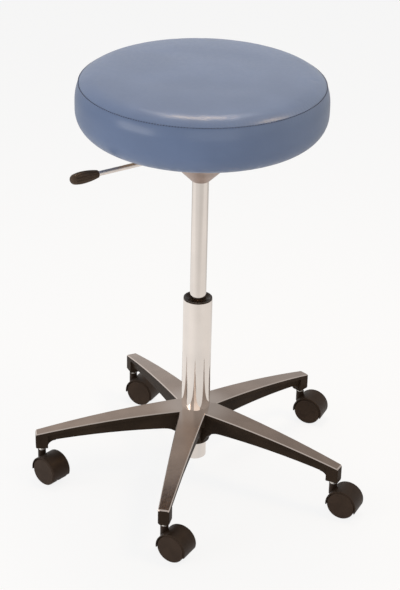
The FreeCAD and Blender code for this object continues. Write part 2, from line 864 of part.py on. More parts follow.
def seat_fasteners():
    """Screws through the hub's flange into tee nuts in the board."""
    head_top = "board_bottom - flange_thickness"
    nut_bottom = "board_top - nut_flange_thickness - nut_length"
    screws = []
    nuts = []
    for angle in even_angles("screw_count", value("lever_heading")):
        screw = new_body("seat_screw", kept=False)
        turned(screw, "screw", [
            ("0", f"{head_top} - screw_head_height"),
            ("screw_head_radius", f"{head_top} - screw_head_height"),
            ("screw_head_radius", head_top),
            ("screw_radius", head_top),
            ("screw_radius", "board_top - nut_flange_thickness"),
            ("0", "board_top - nut_flange_thickness"),
        ])
        nut = new_body("tee_nut", kept=False)
        turned(nut, "nut", [
            ("screw_radius + running_gap", nut_bottom),
            ("nut_radius", nut_bottom),
            ("nut_radius", "board_top - nut_flange_thickness"),
            ("nut_flange_radius", "board_top - nut_flange_thickness"),
            ("nut_flange_radius", "board_top"),
            ("screw_radius + running_gap", "board_top"),
        ])
        for piece, pieces in ((screw, screws), (nut, nuts)):
            piece.Placement = spot_on_circle(value("screw_circle"), angle, 0)
            pieces.append(piece)
    group("seat_screws", screws)
    group("tee_nuts", nuts)


def bulge_radius(across, along):
    """Radius of an arc that starts along its own tangent, by how far it goes across and along it."""
    return f"(({across}) ^ 2 + ({along}) ^ 2) / (2 * ({across}))"


def seat_cushion():
    inset = "cover_thickness"
    cover = new_body("seat_cover")
    turned(cover, "cover", cushion_down("0") + [
        ("hem_radius", "cushion_bottom"),
        ("hem_radius", "board_bottom"),
    ] + cushion_up(inset))
    foam_inset = "(cover_thickness + side_gap)"
    foam = new_body("seat_foam")
    turned(foam, "foam", cushion_down(foam_inset) + [
        ("board_radius + side_gap", f"cushion_bottom + {foam_inset}"),
        ("board_radius + side_gap", "board_top + side_gap"),
        ("0", "board_top + side_gap"),
    ])
    staples = []
    for angle in even_angles("staple_count"):
        staple = doc.addObject("Part::Box", "cover_staple")
        bind(staple, "Length", "staple_width")
        bind(staple, "Width", "staple_length")
        bind(staple, "Height", "staple_height")
        half_width = value("staple_width") / 2
        half_length = value("staple_length") / 2
        corner = FreeCAD.Vector(-half_width, -half_length, -value("staple_height"))
        spot = spot_on_circle(value("staple_circle"), angle, value("cushion_bottom"))
        staple.Placement = spot.multiply(FreeCAD.Placement(corner, FreeCAD.Rotation()))
        staples.append(staple)
    group("cover_staples", staples)


def cushion_stations(inset):
    """Corners of the cushion's half outline, drawn in by the inset, and the radii of its arcs."""
    seam_in = f"seam_radius - {inset}"
    points = [
        ("0", f"crown_height - {inset}"),
        (f"top_radius - {inset} / 4", f"shoulder_height - {inset}"),
        (seam_in, f"seam_height + seam_dip / 2 - {inset} / 2"),
        (f"{seam_in} - seam_dip", f"seam_height - {inset} / 2"),
        (seam_in, f"seam_height - seam_dip / 2 - {inset} / 2"),
        (f"cushion_radius - {inset}", "widest_height"),
        (f"cushion_radius - {inset}", "corner_height"),
        ("cushion_radius - corner_round", f"cushion_bottom + {inset}"),
    ]
    arcs = {
        0: bulge_radius("crown_rise", f"top_radius - {inset} / 4"),
        1: f"shoulder_round - {inset}",
        4: bulge_radius("cushion_radius - seam_radius", f"seam_rise - seam_dip / 2 - {inset} / 2"),
        6: f"corner_round - {inset}",
    }
    return points, arcs


def cushion_down(inset):
    """The outline from the crown's centre outward and down."""
    points, arcs = cushion_stations(inset)
    return [point + ((arcs[index], "right") if index in arcs else ()) for index, point in enumerate(points)]


def cushion_up(inset):
    """The same outline back from the underside to the crown's centre."""
    points, arcs = cushion_stations(inset)
    order = range(len(points) - 1, -1, -1)
    return [points[index] + ((arcs[index - 1], "left") if index - 1 in arcs else ()) for index in order]


# Casters

def caster_placement(arm_angle, heading):
    """A caster's own frame: X trails from the stem toward the wheels, origin at the wheels' centre."""
    stem = axis_turn(arm_angle).multVec(FreeCAD.Vector(value("stem_circle"), 0, value("wheel_radius")))
    turn = axis_turn(value(heading))
    return FreeCAD.Placement(stem + turn.multVec(FreeCAD.Vector(value("caster_trail"), 0, 0)), turn)


def caster_housing(label, placement):
    """Hood over both wheels, web between them, axle boss and the neck that turns on the stem."""
    body = new_body(label)
    hood = new_sketch(body, "hood_outline", "XZ_Plane")
    front = ("-hood_outside * cos(hood_front_angle * 1 deg)", "-hood_outside * sin(hood_front_angle * 1 deg)")
    top = ("0", "hood_outside")
    back = ("hood_outside * cos(hood_back_angle * 1 deg)", "-hood_outside * sin(hood_back_angle * 1 deg)")
    outline(hood, [back + ("hood_outside", "left"), top + ("hood_outside", "left"), front])
    pad(body, "hood", hood, "hood_width", midplane=True)
    for side, sign in (("near", "-"), ("far", "")):
        hood_rim(body, side, sign)
    boss = new_sketch(body, "boss_outline", "XZ_Plane")
    circle(boss, "0", "0", "wheel_hub_radius")
    pad(body, "boss", boss, "web_width", midplane=True)
    neck = new_sketch(body, "neck_outline", "XY_Plane", "neck_root - wheel_radius")
    circle(neck, "-caster_trail", "0", "neck_radius")
    pad(body, "neck", neck, "neck_top - neck_root")
    for side, along in (("near", "along"), ("far", "against")):
        offset = "web_width / 2" if side == "near" else "-web_width / 2"
        room = new_sketch(body, f"{side}_room_outline", "XZ_Plane", offset)
        circle(room, "0", "0", "hood_inside")
        pocket(body, f"{side}_wheel_room", room, "hood_width", side=along)
    axle = new_sketch(body, "axle_outline", "XZ_Plane")
    circle(axle, "0", "0", "axle_radius + seat_gap")
    pocket(body, "axle_hole", axle, "hood_width", side="both")
    stem = new_sketch(body, "stem_outline", "XY_Plane", "neck_top - wheel_radius")
    circle(stem, "-caster_trail", "0", "stem_radius + running_gap")
    pocket(body, "stem_bore", stem, "stem_depth", side="against")
    body.Placement = placement


def hood_rim(body, side, sign):
    """Bevel round the hood's outer edge on one side of the caster."""
    edge = f"{sign}(hood_width / 2 - hood_bevel)"
    face = f"{sign}(hood_width / 2 + hood_bevel)"
    sketch = new_sketch(body, f"{side}_rim_outline", "YZ_Plane")
    outline(sketch, [(edge, "hood_outside"), (face, "hood_outside - 2 * hood_bevel"), (face, "hood_outside")])
    made = feature(body, "Groove", f"{side}_rim", sketch)
    made.ReferenceAxis = (sketch, ["H_Axis"])
    made.Angle = 360
    cut_checked(body, made)


def caster_wheel(label, placement, side):
    """Wheel with a closed disc outside, open toward the web. Its own Z points out along the axle."""
    body = new_body(label)
    outer = "wheel_inside + wheel_width"
    disc = f"{outer} - wheel_disc"
    turned(body, "wheel", [
        ("0", outer),
        ("0", "wheel_inside + wheel_width - axle_end_cover"),
        ("axle_radius + running_gap", "wheel_inside + wheel_width - axle_end_cover"),
        ("axle_radius + running_gap", "wheel_inside"),
        ("wheel_hub_radius", "wheel_inside"),
        ("wheel_hub_radius", disc),
        ("wheel_radius - wheel_rim", disc),
        ("wheel_radius - wheel_rim", "wheel_inside"),
        ("wheel_radius", "wheel_inside"),
        ("wheel_radius", f"{outer} - wheel_bevel"),
        ("wheel_radius - wheel_bevel", outer),
    ])
    face_out = FreeCAD.Rotation(FreeCAD.Vector(1, 0, 0), 90 if side == "near" else -90)
    body.Placement = placement.multiply(FreeCAD.Placement(FreeCAD.Vector(), face_out))


def caster_axle(label, placement):
    half = "wheel_inside + wheel_width - axle_end_cover - side_gap"
    body = ring(label, "0", "axle_radius", f"-({half})", half)
    along_axle = FreeCAD.Rotation(FreeCAD.Vector(1, 0, 0), 90)
    body.Placement = placement.multiply(FreeCAD.Placement(FreeCAD.Vector(), along_axle))


def caster_stem(arm_angle):
    """Steel pin: its lower end carries the housing, its collar bears on the arm's tip."""
    body = new_body("caster_stem", kept=False)
    collar_bottom = "caster_height - stem_collar_height"
    turned(body, "stem", [
        ("0", "neck_top - stem_depth + side_gap"),
        ("stem_radius", "neck_top - stem_depth + side_gap"),
        ("stem_radius", collar_bottom),
        ("stem_collar_radius", collar_bottom),
        ("stem_collar_radius", "caster_height"),
        ("stem_radius", "caster_height"),
        ("stem_radius", "caster_height + stem_insert"),
        ("0", "caster_height + stem_insert"),
    ])
    body.Placement = spot_on_circle(value("stem_circle"), arm_angle, 0)
    return body


def grip_ring(arm_angle):
    """Sleeve that holds the stem in the arm's socket."""
    bottom = "caster_height + ring_lift"
    body = ring("stem_grip_ring", "stem_radius + seat_gap", "socket_radius - seat_gap", bottom,
                f"{bottom} + ring_length", kept=False)
    body.Placement = spot_on_circle(value("stem_circle"), arm_angle, 0)
    return body


def casters():
    stems = []
    rings = []
    angles = even_angles("arm_count", FIRST_ARM_ANGLE)
    for number, (arm_angle, heading) in enumerate(zip(angles, CASTER_HEADINGS), start=1):
        placement = caster_placement(arm_angle, heading)
        caster_housing(f"caster_{number}_housing", placement)
        caster_axle(f"caster_{number}_axle", placement)
        caster_wheel(f"caster_{number}_near_wheel", placement, "near")
        caster_wheel(f"caster_{number}_far_wheel", placement, "far")
        stems.append(caster_stem(arm_angle))
        rings.append(grip_ring(arm_angle))
    group("caster_stems", stems)
    group("stem_grip_rings", rings)


def check_and_write():
    """Stop on anything that failed, then write one file for each sub-part."""
    doc.recompute()
    for thing in doc.Objects:
        if "Invalid" in thing.State or "Error" in thing.State:
            raise RuntimeError(f"{thing.Label} failed")
    os.makedirs("parts", exist_ok=True)
    for part in subparts:
        if part.Shape.isNull() or not part.Shape.isValid():
            raise RuntimeError(f"{part.Label} has no valid shape")
    for part in subparts:
        part.Shape.exportStep(f"parts/{part.Label}.step")
    print(f"{len(subparts)} sub-parts written")


def main():
    fill_sheet()
    base_casting()
    column_tube()
    column_bush()
    rod_bearing()
    gas_spring()
    seat_hub()
    release_lever()
    seat_board()
    seat_fasteners()
    seat_cushion()
    casters()
    check_and_write()


main()
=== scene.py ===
import math

import bpy
import numpy as np
from bpy.props import FloatProperty, FloatVectorProperty, IntProperty, PointerProperty
from mathutils import Matrix, Vector


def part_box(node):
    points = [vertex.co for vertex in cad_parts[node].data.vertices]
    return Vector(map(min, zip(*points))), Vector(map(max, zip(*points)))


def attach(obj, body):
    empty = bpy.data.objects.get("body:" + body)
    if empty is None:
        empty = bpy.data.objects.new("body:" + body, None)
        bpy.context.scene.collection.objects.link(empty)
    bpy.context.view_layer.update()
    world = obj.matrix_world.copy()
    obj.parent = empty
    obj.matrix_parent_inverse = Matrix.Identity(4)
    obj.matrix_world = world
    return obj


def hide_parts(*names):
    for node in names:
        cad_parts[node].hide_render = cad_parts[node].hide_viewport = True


bl_info = {
    "name": "Medical exam stool",
    "version": (1, 0, 0),
    "blender": (4, 5, 0),
    "location": "View3D > Sidebar > Stool",
    "description": "Padded seat, stitching, finishes and studio stage for the packed stool",
    "category": "Object",
}

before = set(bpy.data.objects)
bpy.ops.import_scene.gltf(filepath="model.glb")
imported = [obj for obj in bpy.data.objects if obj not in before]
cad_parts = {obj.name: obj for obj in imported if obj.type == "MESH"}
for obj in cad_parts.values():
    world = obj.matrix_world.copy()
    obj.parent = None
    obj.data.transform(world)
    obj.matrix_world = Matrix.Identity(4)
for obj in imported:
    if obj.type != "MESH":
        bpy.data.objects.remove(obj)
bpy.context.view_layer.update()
COVER_LOW, COVER_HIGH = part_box("seat_cover")
BOARD_LOW, BOARD_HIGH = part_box("seat_board")
CASTERS = range(1, 6)

# Cushion's mesh: a patch of cells in the middle of the top, then rings out to the seam and down to the hem
PATCH_CELLS = 48
RING_POINTS = 4 * PATCH_CELLS
TOP_RINGS = 22
SIDE_POINTS = 28
# The last rings, where the hem turns in under the board
HEM_RINGS = 6
# The patch's reach as a share of the seam's radius, and how much of its outline is square and how much round
PATCH_REACH = 0.5
PATCH_SQUARE, PATCH_ROUND = 0.43, 0.5
# Points on each arc of the outlines
CROWN_POINTS, SHOULDER_POINTS, BAND_POINTS, CORNER_POINTS = 60, 24, 24, 40
# Distances from the seam to the two close rings on each side of it
SEAM_NEAR, SEAM_FAR = 0.0011, 0.0026
# Room round the board in its pocket, and the height over the underside up to which the cover is held
BOARD_GAP = 0.0002
HELD_HEIGHT = 0.0004

# Simulation of the cover
SIMULATED_FRAMES = 20
CLOTH = {
    "quality": 6,
    "mass": 0.3,
    "tension_stiffness": 15,
    "compression_stiffness": 15,
    "bending_stiffness": 3.0,
}

# One stitch: the thread's thickness along it, its sides, its rise in the middle and its dip at the ends in
# thread radii, and how far down the seam's valley it lies
STITCH_TAPER = (0.35, 0.8, 1.0, 1.0, 1.0, 0.8, 0.35)
STITCH_SIDES = 8
STITCH_RISE, STITCH_DIP = 0.9, 1.3
STITCH_SINK = 0.55

# Brown cast of what the dark plastics mirror, dust on plastic and on rubber, and pairs of plies in the board
WARM_SHEEN = (1.0, 0.72, 0.55, 1.0)
PLASTIC_DUST, RUBBER_DUST = (0.34, 0.31, 0.28, 1.0), (0.2, 0.19, 0.18, 1.0)
PLY_PAIRS = 4

# Stage: the floor's disc, the camera's sensor in millimetres, and each lamp's place, aim, size and tone
WHITE = (1.0, 1.0, 1.0, 1.0)
FLOOR_RADIUS, FLOOR_SIDES = 14, 64
SENSOR_WIDTH = 36.0
WARM, PLAIN, COOL = (1.0, 0.73, 0.42), (1.0, 0.99, 0.97), (0.9, 0.98, 1.16)
SOFTBOXES = {
    "key": ((-0.11, 0.5, 2.1), (0.0, -0.1, 0.74), (0.9, 0.7), COOL),
    "fill": ((0.9, -2.5, 1.0), (0.0, 0.0, 0.6), (2.2, 1.2), PLAIN),
    "low": ((-1.7, -1.6, 0.8), (-0.08, -0.15, 0.72), (1.4, 0.6), PLAIN),
    "top": ((-0.11, 0.41, 2.03), (0.0, -0.15, 0.74), (0.5, 0.3), WARM),
    "side": ((1.12, 0.06, 1.97), (0.13, -0.14, 0.74), (0.5, 0.5), WARM),
}


# Sizes, colours and light that a user would change

def length(name, description, default):
    return FloatProperty(name=name, description=description, default=default, unit="LENGTH", precision=4)


def turned(name, description, default):
    return FloatProperty(name=name, description=description, default=default, subtype="ANGLE")


def power(name, description, default):
    return FloatProperty(name=name, description=description, default=default, unit="POWER")


def colour(name, description, default):
    return FloatVectorProperty(name=name, description=description, default=default, size=3, subtype="COLOR",
                               min=0.0, max=1.0)


class StoolSeatSizes(bpy.types.PropertyGroup):
    """Sizes of the padded seat"""
    crown_rise: length("Crown rise", "Height of the crown over the shoulder", 0.0097)
    shoulder_width: length("Shoulder width", "Width of the rolled edge inside the seam", 0.0227)
    shoulder_round: length("Shoulder round", "Radius of the rolled edge", 0.044)
    seam_inset: length("Seam inset", "How far the seam lies inside the widest line", 0.0063)
    seam_height: length("Seam height", "Height of the seam over the seat's underside", 0.0847)
    seam_depth: length("Seam depth", "How far the sewn line is drawn in", 0.0004)
    widest_height: length("Widest height", "Height of the widest line over the underside", 0.056)
    corner_round: length("Corner round", "Radius of the lower corner", 0.040)
    hem_width: length("Hem width", "How far the cover turns in under the board", 0.025)
    hem_sag: length("Hem sag", "How far the hem hangs between two staples", 0.0008)
    staple_count: IntProperty(name="Staples", description="Staples that hold the hem", default=18, min=3)
    slack: length("Slack", "How much lower the top panel lies before the padding fills it", 0.0016)
    swell_limit: length("Swell limit", "The most that the padding may push the cover out", 0.005)
    pressure: FloatProperty(name="Padding pressure", description="Pressure of the foam on the cover",
                            default=4.0)
    firmness: FloatProperty(name="Foam firmness", description="How well the foam keeps its own shape, 0 to 1",
                            default=0.12, min=0.0, max=1.0, subtype="FACTOR")
    stitch_pitch: length("Stitch pitch", "Distance from one stitch to the next", 0.00465)
    stitch_length: length("Stitch length", "Length of thread seen in one stitch", 0.0029)
    thread_radius: length("Thread radius", "Half the thickness of the thread", 0.0007)


class StoolColours(bpy.types.PropertyGroup):
    """Colours of the finishes"""
    vinyl: colour("Vinyl", "Blue cover", (0.137, 0.189, 0.315))
    thread: colour("Thread", "Seam thread", (0.026, 0.040, 0.085))
    casting: colour("Casting", "Polished upper face of the star base", (0.320, 0.246, 0.202))
    # Painted highlight: the lighter tone laid on the base's bevels and worn edges in place of light caught
    # there
    casting_edge_glint: colour("Casting edge", "Bevel of the star base", (0.56, 0.48, 0.43))
    casting_side: colour("Casting side", "Dark sides of the star base", (0.030, 0.020, 0.0135))
    chrome: colour("Chrome", "Column, gas spring and lever", (0.83, 0.765, 0.715))
    hub: colour("Hub", "Satin cone under the seat", (0.455, 0.354, 0.310))
    hood: colour("Hood", "Caster hoods", (0.021, 0.0135, 0.0095))
    wheel: colour("Wheel", "Caster wheels", (0.034, 0.0225, 0.0165))
    ring: colour("Ring", "Ring on the column", (0.020, 0.0135, 0.010))
    grip: colour("Grip", "Lever grip", (0.062, 0.043, 0.031))
    steel: colour("Steel", "Screws and other plain steel", (0.62, 0.59, 0.56))
    stem: colour("Stem", "Plated caster stems", (0.82, 0.78, 0.73))
    brass: colour("Brass", "Ball cage", (0.60, 0.42, 0.16))
    rubber: colour("Rubber", "Rubber stop", (0.020, 0.019, 0.018))
    plywood: colour("Plywood", "Seat board", (0.33, 0.245, 0.165))


class StoolStage(bpy.types.PropertyGroup):
    """Camera and light"""
    camera_place: FloatVectorProperty(name="Camera", description="Where the camera stands",
                                      default=(0.4863, -2.7809, 1.7805), subtype="TRANSLATION")
    camera_turn: turned("Turn", "Heading of the camera from +Y toward +X", math.radians(-9.85))
    camera_pitch: turned("Pitch", "How far the camera looks up", math.radians(-26.93))
    camera_roll: turned("Roll", "How far the camera leans", 0.0233)
    camera_lens: FloatProperty(name="Lens", description="Focal length in millimetres", default=113.2,
                               unit="CAMERA")
    room_light: FloatProperty(name="Room light", description="Strength of the even light", default=0.44)
    key_power: power("Key light", "Soft cool light overhead and behind", 6.0)
    fill_power: power("Fill light", "Large soft light in front", 10.5)
    low_power: power("Low light", "Soft light low on the left", 16.0)
    top_power: power("Top light", "Narrow warm light overhead", 8.0)
    side_power: power("Side light", "Soft warm light high on the right", 11.5)


# Shader nodes

def add_node(tree, kind, inputs=None, **settings):
    """Adds a node, sets it up, and links or fills its inputs."""
    made = tree.nodes.new(f"ShaderNode{kind}")
    for name, value in settings.items():
        setattr(made, name, value)
    for key, value in (inputs or {}).items():
        if isinstance(value, bpy.types.NodeSocket):
            tree.links.new(value, made.inputs[key])
        else:
            made.inputs[key].default_value = value
    return made


def maths(tree, operation, first, second=0.0):
    return add_node(tree, "Math", {0: first, 1: second}, operation=operation).outputs[0]


def product(tree, first, *others):
    for other in others:
        first = maths(tree, "MULTIPLY", first, other)
    return first


def spread(tree, value, low, high, to_low=0.0, to_high=1.0):
    """Eases a value from one range into another, held at both ends."""
    inputs = {"Value": value, "From Min": low, "From Max": high, "To Min": to_low, "To Max": to_high}
    return add_node(tree, "MapRange", inputs, interpolation_type="SMOOTHSTEP").outputs["Result"]


def mix_values(tree, share, first, second):
    return add_node(tree, "Mix", {0: share, 2: first, 3: second}, data_type="FLOAT").outputs[0]


def mix_colours(tree, share, first, second):
    return add_node(tree, "Mix", {0: share, 6: first, 7: second}, data_type="RGBA").outputs[2]


def shade(tone, factor):
    return tuple(min(1.0, part * factor) for part in tone) + (1.0,)


def mottled(tree, mottle, tone, low, high):
    """A tone that wanders slowly between two shades of itself."""
    return mix_colours(tree, mottle["Slow"], shade(tone, low), shade(tone, high))


def object_place(tree):
    return add_node(tree, "TexCoord").outputs["Object"]


def along_axes(tree, vector):
    return add_node(tree, "SeparateXYZ", {0: vector}).outputs


def facing_up(tree, normal="True Normal"):
    """How far the surface faces up, -1 to 1."""
    return along_axes(tree, add_node(tree, "NewGeometry").outputs[normal])["Z"]


def height_to_normal(tree, height, strength=1.0):
    """A bump from heights in metres."""
    return add_node(tree, "Bump", {"Strength": strength, "Distance": 1.0, "Height": height}).outputs["Normal"]


def new_group(name, inputs, outputs):
    """An empty node group with named sockets, with its input and output nodes."""
    tree = bpy.data.node_groups.new(name, "ShaderNodeTree")
    for label, kind, default in inputs:
        socket = tree.interface.new_socket(label, in_out="INPUT", socket_type=f"NodeSocket{kind}")
        socket.default_value = default
    for label in outputs:
        tree.interface.new_socket(label, in_out="OUTPUT", socket_type="NodeSocketFloat")
    return tree, tree.nodes.new("NodeGroupInput").outputs, tree.nodes.new("NodeGroupOutput").inputs


def noise(tree, place, scale, detail):
    return add_node(tree, "TexNoise", {"Vector": place, "Scale": scale, "Detail": detail}).outputs["Fac"]


def surface_mottle():
    """Slow and fine unevenness of a surface."""
    tree, given, wanted = new_group("Surface mottle", [
        ("Place", "Vector", (0.0, 0.0, 0.0)),
        ("Slow scale", "Float", 20.0),
        ("Fine scale", "Float", 400.0),
    ], ["Slow", "Fine"])
    slow = noise(tree, given["Place"], given["Slow scale"], 4.0)
    tree.links.new(spread(tree, slow, 0.3, 0.7), wanted["Slow"])
    tree.links.new(noise(tree, given["Place"], given["Fine scale"], 2.0), wanted["Fine"])
    return tree


def drawn_lines():
    """Fine lines left by drawing, turning or polishing along one direction."""
    tree, given, wanted = new_group("Drawn lines", [
        ("Place", "Vector", (0.0, 0.0, 0.0)),
        ("Stretch", "Vector", (1.0, 1.0, 0.05)),
        ("Scale", "Float", 500.0),
    ], ["Lines"])
    drawn = add_node(tree, "VectorMath", {0: given["Place"], 1: given["Stretch"]}, operation="MULTIPLY")
    lines = noise(tree, drawn.outputs["Vector"], given["Scale"], 3.0)
    tree.links.new(spread(tree, lines, 0.3, 0.7), wanted["Lines"])
    return tree


def edge_wear_and_glint():
    """Marks the edges of a piece, where handling wears it bright, and where some finishes lay a painted
    highlight.
    """
    tree, given, wanted = new_group("Edge rub", [
        ("Place", "Vector", (0.0, 0.0, 0.0)),
        ("Width", "Float", 0.001),
        ("Patchiness", "Float", 60.0),
    ], ["Edge"])
    rounded = add_node(tree, "Bevel", {"Radius": given["Width"]}, samples=6).outputs["Normal"]
    facing = add_node(tree, "NewGeometry").outputs["True Normal"]
    agreement = add_node(tree, "VectorMath", {0: rounded, 1: facing}, operation="DOT_PRODUCT")
    edge = spread(tree, maths(tree, "SUBTRACT", 1.0, agreement.outputs["Value"]), 0.008, 0.09)
    worn = spread(tree, noise(tree, given["Place"], given["Patchiness"], 3.0), 0.25, 0.6, 0.35, 1.0)
    tree.links.new(product(tree, edge, worn), wanted["Edge"])
    return tree


def settled_dust():
    """Thin dust on what faces up."""
    tree, given, wanted = new_group("Settled dust", [
        ("Place", "Vector", (0.0, 0.0, 0.0)),
        ("Amount", "Float", 0.1),
    ], ["Dust"])
    level = spread(tree, facing_up(tree, "Normal"), 0.2, 0.95)
    cloud = spread(tree, noise(tree, given["Place"], 45.0, 5.0), 0.3, 0.75)
    tree.links.new(product(tree, level, cloud, given["Amount"]), wanted["Dust"])
    return tree


EFFECTS = {
    "Surface mottle": surface_mottle,
    "Drawn lines": drawn_lines,
    "Edge rub": edge_wear_and_glint,
    "Settled dust": settled_dust,
}


def effect(tree, name, **values):
    """Places a shared effect in a material, with this material's values."""
    group = bpy.data.node_groups.get(name) or EFFECTS[name]()
    inputs = {label.replace("_", " ").capitalize(): value for label, value in values.items()}
    return add_node(tree, "Group", inputs, node_tree=group).outputs


def new_finish(name, plain):
    """A material with its shader's plain sockets set."""
    material = bpy.data.materials.new(name)
    material.use_nodes = True
    shader = material.node_tree.nodes["Principled BSDF"]
    for label, value in plain.items():
        shader.inputs[label].default_value = value
    return material, material.node_tree, shader


def feed(tree, shader, **sockets):
    for label, value in sockets.items():
        tree.links.new(value, shader.inputs[label.replace("_", " ")])


# Finishes

def blue_vinyl(colours, seat):
    """Soft satin vinyl with a fine pebbled grain, painted shade along the seam's valley, puckers along the
    seam and folds underneath.
    """
    grain_depth, pucker_depth, fold_depth = 0.00006, 0.00012, 0.0005
    grain_scale, puckers, folds, fold_wander = 640.0, 165.0, 54.0, 5.0
    sheen = {"Specular IOR Level": 0.14, "Coat Weight": 0.24, "Coat Roughness": 0.19}
    material, tree, shader = new_finish("blue_vinyl", sheen)
    place = object_place(tree)
    parts = along_axes(tree, place)
    angle = maths(tree, "ARCTAN2", parts["Y"], parts["X"])
    off_seam = maths(tree, "ABSOLUTE", maths(tree, "SUBTRACT", parts["Z"], COVER_LOW.z + seat.seam_height))
    mottle = effect(tree, "Surface mottle", place=place, slow_scale=11.0, fine_scale=160.0)
    # Painted shade: within about a millimetre of the seam's valley the vinyl is mixed slightly toward a much
    # darker shade of itself
    painted_seam_shade = spread(tree, off_seam, 0.0002, 0.0011, 0.04, 0.0)
    base = mottled(tree, mottle, colours.vinyl, 0.955, 1.045)
    feed(tree, shader, Base_Color=mix_colours(tree, painted_seam_shade, base, shade(colours.vinyl, 0.35)),
         Roughness=spread(tree, mottle["Fine"], 0.2, 0.8, 0.34, 0.42))
    cells = add_node(tree, "TexVoronoi", {"Vector": place, "Scale": grain_scale, "Smoothness": 0.5},
                     feature="SMOOTH_F1")
    pebbles = product(tree, cells.outputs["Distance"], -grain_depth)
    ripple = maths(tree, "SINE", product(tree, angle, puckers))
    pull = product(tree, spread(tree, off_seam, 0.0008, 0.010, 1.0, 0.0), mottle["Fine"])
    ripples = product(tree, ripple, pull, pucker_depth)
    wander = product(tree, mottle["Slow"], fold_wander)
    fold = maths(tree, "SINE", maths(tree, "ADD", product(tree, angle, folds), wander))
    under = spread(tree, parts["Z"], COVER_LOW.z + 0.001, COVER_LOW.z + 0.022, 1.0, 0.0)
    gathers = product(tree, fold, under, fold_depth)
    height = maths(tree, "ADD", pebbles, maths(tree, "ADD", ripples, gathers))
    feed(tree, shader, Normal=height_to_normal(tree, height))
    return material


def seam_thread(colours):
    """Dull twisted thread."""
    material, tree, shader = new_finish("seam_thread", {"Roughness": 0.62, "Sheen Weight": 0.15})
    place = object_place(tree)
    mottle = effect(tree, "Surface mottle", place=place, slow_scale=300.0, fine_scale=3000.0)
    fibres = product(tree, mottle["Fine"], 0.0001)
    feed(tree, shader, Base_Color=mottled(tree, mottle, colours.thread, 0.75, 1.25),
         Normal=height_to_normal(tree, fibres))
    return material


def polished_casting(colours):
    """Polished upper faces with a painted highlight on bevels and worn edges, smoother round the column with
    a painted reflection of it there, and dark satin sides.
    """
    material, tree, shader = new_finish("polished_casting", {"Specular IOR Level": 0.05})
    place = object_place(tree)
    mottle = effect(tree, "Surface mottle", place=place, slow_scale=26.0, fine_scale=900.0)
    lines = effect(tree, "Drawn lines", place=place, stretch=(1.0, 1.0, 0.2), scale=240.0)
    wear_and_glint = effect(tree, "Edge rub", place=place, width=0.0011, patchiness=30.0)
    facing = facing_up(tree)
    upper = spread(tree, facing, 0.3, 0.5)
    # Painted highlight: the tilted upper faces of the bevels, and the worn edges, are marked for the lighter
    # tone
    bevel = product(tree, upper, spread(tree, facing, 0.93, 0.8))
    worn_edge_glint = product(tree, wear_and_glint["Edge"], 0.75)
    bright = product(tree, upper, maths(tree, "MAXIMUM", bevel, worn_edge_glint))
    flat = add_node(tree, "VectorMath", {0: place, 1: (1.0, 1.0, 0.0)}, operation="MULTIPLY")
    off_axis = add_node(tree, "VectorMath", {0: flat.outputs["Vector"]}, operation="LENGTH").outputs["Value"]
    # Round the column the upper faces are polished smoother, and 30 per cent of the chrome's tone is mixed
    # into their colour as a painted reflection of the column
    buffed_with_painted_reflection = spread(tree, off_axis, 0.030, 0.085, 1.0, 0.0)
    polished = mottled(tree, mottle, colours.casting, 0.93, 1.07)
    polished = mix_colours(tree, product(tree, buffed_with_painted_reflection, 0.3), polished, shade(colours.chrome, 0.8))
    # Lays the painted highlight's lighter tone on the bevels and worn edges
    polished = mix_colours(tree, bright, polished, shade(colours.casting_edge_glint, 1.0))
    side = mottled(tree, mottle, colours.casting_side, 0.85, 1.2)
    side_rough, buffed_rough = 0.48, 0.05
    polish = mix_values(tree, buffed_with_painted_reflection, spread(tree, lines["Lines"], 0.0, 1.0, 0.17, 0.24), buffed_rough)
    feed(tree, shader, Base_Color=mix_colours(tree, upper, side, polished), Metallic=upper,
         Roughness=mix_values(tree, upper, side_rough, polish))
    orange_peel = product(tree, mottle["Fine"], 0.00004)
    feed(tree, shader, Normal=height_to_normal(tree, orange_peel, 0.7))
    return material


def bright_plate(name, tone, stretch, rough):
    """Bright plated tube or rod with faint drawing lines."""
    material, tree, shader = new_finish(name, {"Metallic": 1.0})
    place = object_place(tree)
    lines = effect(tree, "Drawn lines", place=place, stretch=stretch, scale=420.0)
    mottle = effect(tree, "Surface mottle", place=place, slow_scale=18.0, fine_scale=1200.0)
    feed(tree, shader, Base_Color=mottled(tree, mottle, tone, 0.96, 1.03),
         Roughness=spread(tree, lines["Lines"], 0.0, 1.0, rough, rough + 0.05))
    scores = product(tree, lines["Lines"], 0.000004)
    feed(tree, shader, Normal=height_to_normal(tree, scores, 0.5))
    return material


def satin_metal(name, tone, stretch, rough):
    """Turned or blasted metal with a soft sheen, brighter at worn edges."""
    material, tree, shader = new_finish(name, {"Metallic": 1.0})
    place = object_place(tree)
    lines = effect(tree, "Drawn lines", place=place, stretch=stretch, scale=700.0)
    mottle = effect(tree, "Surface mottle", place=place, slow_scale=40.0, fine_scale=1500.0)
    wear_and_glint = effect(tree, "Edge rub", place=place, width=0.0006, patchiness=80.0)
    base = mottled(tree, mottle, tone, 0.88, 1.06)
    base = mix_colours(tree, product(tree, wear_and_glint["Edge"], 0.5), base, shade(tone, 1.45))
    feed(tree, shader, Base_Color=base, Roughness=spread(tree, lines["Lines"], 0.0, 1.0, rough, rough + 0.12))
    scores = product(tree, maths(tree, "ADD", lines["Lines"], mottle["Fine"]), 0.00001)
    feed(tree, shader, Normal=height_to_normal(tree, scores))
    return material


